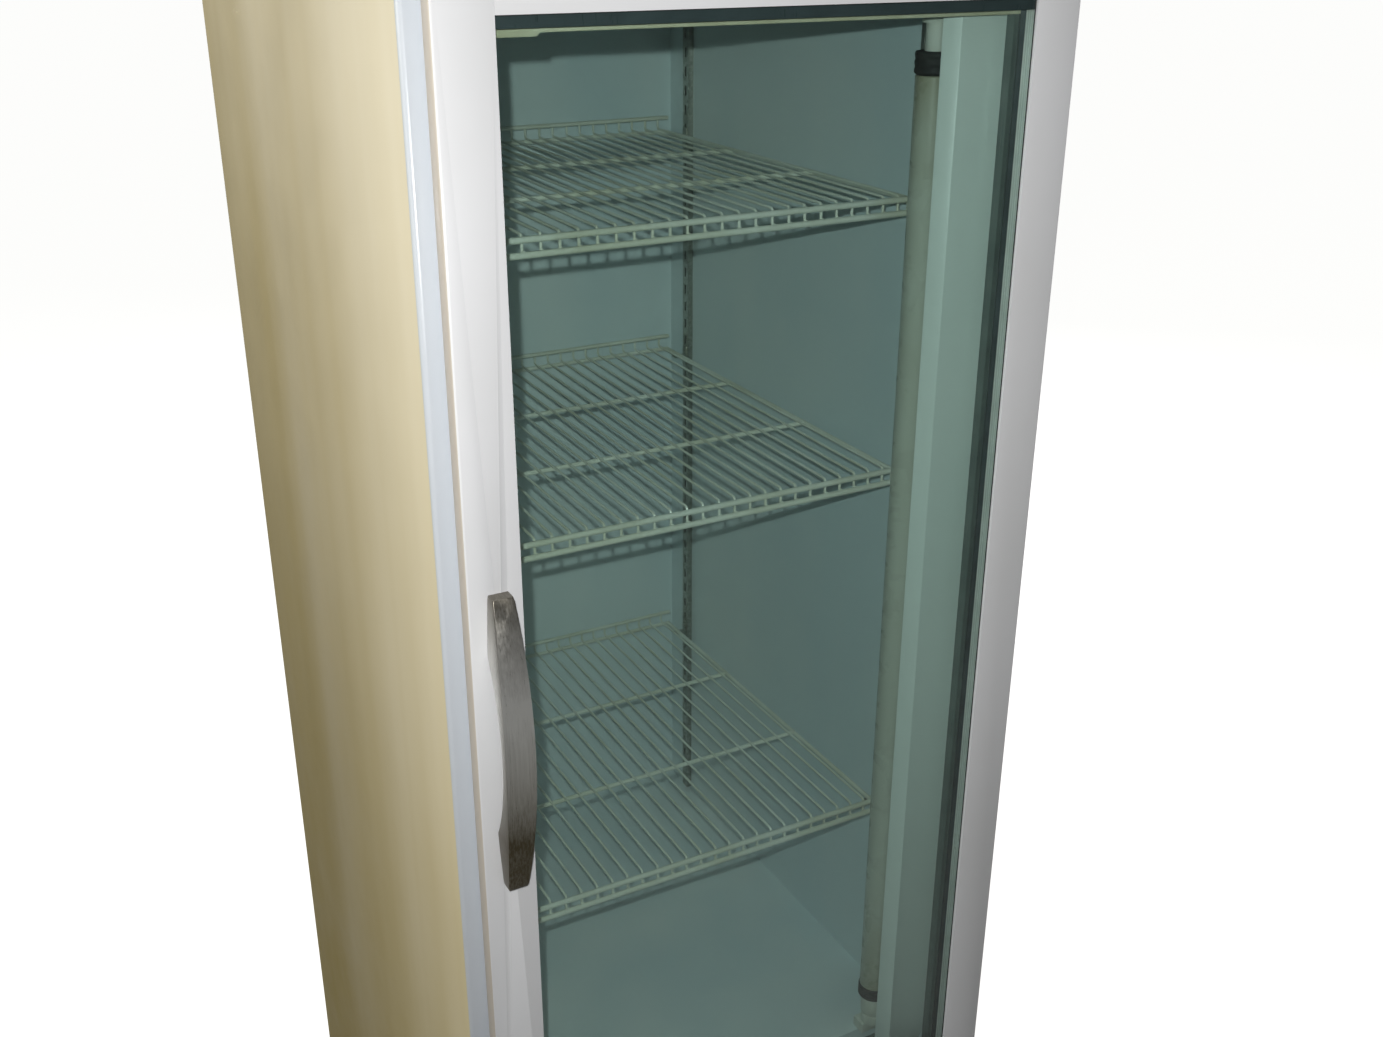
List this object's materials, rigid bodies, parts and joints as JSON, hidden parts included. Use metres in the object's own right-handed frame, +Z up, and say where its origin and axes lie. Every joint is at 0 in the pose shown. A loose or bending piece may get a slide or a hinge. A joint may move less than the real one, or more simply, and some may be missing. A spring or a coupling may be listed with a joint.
{
  "type": "glass door merchandiser",
  "caption": "Upright refrigerated merchandiser with a hinged insulated glass door, arched pull handle, wire shelves on slotted pilasters, a vertical lamp and a blank lit header.",
  "frame": {"origin": "middle of the bounding box at floor level, under the levelling feet", "axes": "+X to the right seen from the front, +Y from the door into the cabinet, +Z up"},
  "size_m": [0.69, 0.844, 2],
  "materials": {
    "cabinet_paint": "satin",
    "galvanised_sheet": "satin",
    "foam": "matte",
    "liner_paint": "satin",
    "frame_white": "satin",
    "breaker_plastic": "satin",
    "grille_paint": "satin",
    "header_paint": "satin",
    "sign_acrylic": "gloss",
    "lamp_white": "gloss",
    "white_plastic": "satin",
    "shield_white": "satin",
    "black_rubber": "matte",
    "zinc_steel": "satin",
    "coil_aluminium": "satin",
    "motor_paint": "satin",
    "black_paint": "gloss",
    "copper": "satin",
    "pan_plastic": "matte",
    "control_plastic": "satin",
    "rocker_plastic": "gloss",
    "hinge_steel": "satin",
    "screw_steel": "polished",
    "wire_coating": "satin",
    "leg_steel": "satin",
    "door_white": "satin",
    "glass": "gloss",
    "spacer_metal": "satin",
    "gasket_rubber": "matte",
    "handle_steel": "satin",
    "trim_cream": "satin"
  },
  "bodies": {
    "cabinet": {"side_panel_left": "cabinet_paint", "side_panel_right": "cabinet_paint", "back_panel": "galvanised_sheet", "top_panel": "galvanised_sheet", "foam_insulation": "foam", "liner_left": "liner_paint", "liner_right": "liner_paint", "liner_back": "liner_paint", "liner_ceiling": "liner_paint", "liner_floor": "liner_paint", "face_frame": "frame_white", "breaker_strips": "breaker_plastic", "base_chassis": "galvanised_sheet", "front_grille": "grille_paint", "rear_cover": "galvanised_sheet", "header_housing": "header_paint", "header_sign_panel": "sign_acrylic", "header_lamp": "lamp_white", "lamp_holders": "white_plastic", "lamp_shield": "shield_white", "lamp_tube": "lamp_white", "lamp_end_caps": "black_rubber", "lamp_ballast": "galvanised_sheet", "pilasters": "zinc_steel", "shelf_clips": "zinc_steel", "evaporator_housing": "liner_paint", "evaporator_coil": "coil_aluminium", "evaporator_fan_motor": "motor_paint", "compressor": "black_paint", "condenser_coil": "black_paint", "condenser_fan_motor": "motor_paint", "filter_drier": "copper", "refrigerant_lines": "copper", "condensate_pan": "pan_plastic", "thermostat": "control_plastic", "light_switch": "control_plastic", "power_inlet": "control_plastic", "hinge_bracket_top": "hinge_steel", "hinge_bracket_bottom": "hinge_steel", "cabinet_screws": "screw_steel"},
    "door": {"door_frame": "door_white", "glass_panes": "glass", "glass_spacer": "spacer_metal", "door_gasket": "gasket_rubber", "door_handle": "handle_steel", "handle_screws": "screw_steel", "door_top_trim": "trim_cream", "hinge_bushes": "control_plastic", "door_closer": "hinge_steel"},
    "shelf_upper": {"shelf_upper": "wire_coating"},
    "shelf_middle": {"shelf_middle": "wire_coating"},
    "shelf_lower": {"shelf_lower": "wire_coating"},
    "evaporator_fan": {"evaporator_fan": "coil_aluminium"},
    "condenser_fan": {"condenser_fan": "coil_aluminium"},
    "thermostat_knob": {"thermostat_knob": "white_plastic"},
    "light_rocker": {"light_rocker": "rocker_plastic"},
    "leg_front_left": {"leg_front_left": "leg_steel"},
    "leg_front_right": {"leg_front_right": "leg_steel"},
    "leg_rear_left": {"leg_rear_left": "leg_steel"},
    "leg_rear_right": {"leg_rear_right": "leg_steel"}
  },
  "joints": [
    {"name": "door_hinge", "type": "hinge", "parent": "cabinet", "child": "door", "pos_m": [0.318, -0.372, 0.322], "axis": [0, 0, 1], "range_deg": [0, 110], "stiffness_Nm_per_rad": 1.5, "springref_deg": -5.73},
    {"name": "shelf_upper_lift", "type": "slide", "parent": "cabinet", "child": "shelf_upper", "axis": [0, 0, 1], "range_m": [0, 0.02]},
    {"name": "shelf_middle_lift", "type": "slide", "parent": "cabinet", "child": "shelf_middle", "axis": [0, 0, 1], "range_m": [0, 0.02]},
    {"name": "shelf_lower_lift", "type": "slide", "parent": "cabinet", "child": "shelf_lower", "axis": [0, 0, 1], "range_m": [0, 0.02]},
    {"name": "evaporator_fan_spin", "type": "hinge", "parent": "cabinet", "child": "evaporator_fan", "pos_m": [0, -0.099, 1.732], "axis": [0, 0, 1], "continuous": true},
    {"name": "condenser_fan_spin", "type": "hinge", "parent": "cabinet", "child": "condenser_fan", "pos_m": [-0.13, -0.234, 0.165], "axis": [0, 1, 0], "continuous": true},
    {"name": "thermostat_knob_turn", "type": "hinge", "parent": "cabinet", "child": "thermostat_knob", "pos_m": [0.15, -0.179, 1.71], "axis": [0, 0, -1], "range_deg": [0, 270]},
    {"name": "light_rocker_tilt", "type": "hinge", "parent": "cabinet", "child": "light_rocker", "pos_m": [-0.15, -0.179, 1.724], "axis": [0, -1, 0], "range_deg": [0, 20]},
    {"name": "leg_front_left_turn", "type": "hinge", "parent": "cabinet", "child": "leg_front_left", "pos_m": [-0.3, -0.294, 0.022], "axis": [0, 0, 1], "continuous": true},
    {"name": "leg_front_right_turn", "type": "hinge", "parent": "cabinet", "child": "leg_front_right", "pos_m": [0.3, -0.294, 0.022], "axis": [0, 0, 1], "continuous": true},
    {"name": "leg_rear_left_turn", "type": "hinge", "parent": "cabinet", "child": "leg_rear_left", "pos_m": [-0.3, 0.376, 0.022], "axis": [0, 0, 1], "continuous": true},
    {"name": "leg_rear_right_turn", "type": "hinge", "parent": "cabinet", "child": "leg_rear_right", "pos_m": [0.3, 0.376, 0.022], "axis": [0, 0, 1], "continuous": true}
  ]
}
